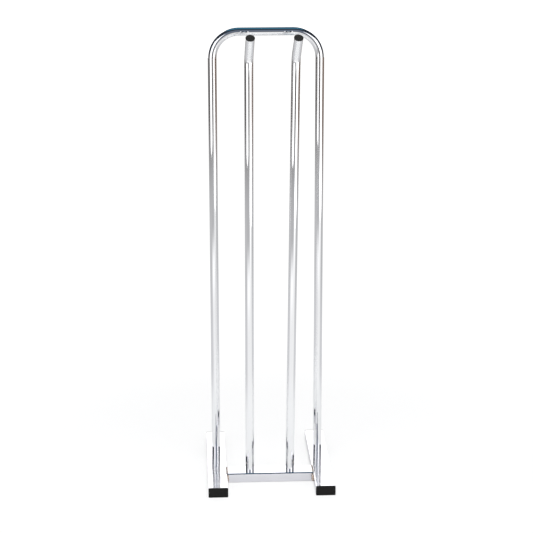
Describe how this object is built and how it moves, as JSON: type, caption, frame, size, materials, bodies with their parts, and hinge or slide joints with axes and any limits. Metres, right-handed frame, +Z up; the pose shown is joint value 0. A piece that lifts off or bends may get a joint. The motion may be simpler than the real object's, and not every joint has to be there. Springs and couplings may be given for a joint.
{
  "type": "hanger stacker stand",
  "caption": "Tall free-standing chrome hanger stacker: a round-tube hoop behind posts with forward-bent, plugged tips, on an H-shaped base of rectangular tube with black end caps.",
  "frame": {"origin": "centre of the base on the floor", "axes": "+Z up along the posts, -Y towards the front where the post tips point, +X to the right as seen from the front"},
  "size_m": [0.323, 0.4, 1.1591],
  "materials": {
    "chrome_round_tube": "bright decorative chrome plate on round steel tube, light handling smudges",
    "chrome_box_tube": "bright decorative chrome plate on rectangular steel tube, slightly wavy, fine scuffs",
    "black_cap_plastic": "moulded black polyethylene with a fine grain",
    "black_plug_plastic": "moulded black polyethylene, scuffed on the dome",
    "turned_steel": "turned mild steel with tool marks",
    "zinc_steel": "bright zinc plate",
    "weld_metal": "rippled weld bead, chrome-plated over with brownish heat and flux stains"
  },
  "bodies": {
    "root": {"hoop": "chrome_round_tube", "left_post": "chrome_round_tube", "right_post": "chrome_round_tube", "cross_rail": "chrome_box_tube", "left_foot": "chrome_box_tube", "right_foot": "chrome_box_tube", "front_left_cap": "black_cap_plastic", "front_right_cap": "black_cap_plastic", "rear_left_cap": "black_cap_plastic", "rear_right_cap": "black_cap_plastic", "left_tip_plug": "black_plug_plastic", "right_tip_plug": "black_plug_plastic", "left_post_insert": "turned_steel", "right_post_insert": "turned_steel", "hoop_left_insert": "turned_steel", "hoop_right_insert": "turned_steel", "frame_bolts": "zinc_steel", "flat_washers": "zinc_steel", "spring_washers": "zinc_steel", "left_rail_weld": "weld_metal", "right_rail_weld": "weld_metal"}
  },
  "joints": []
}
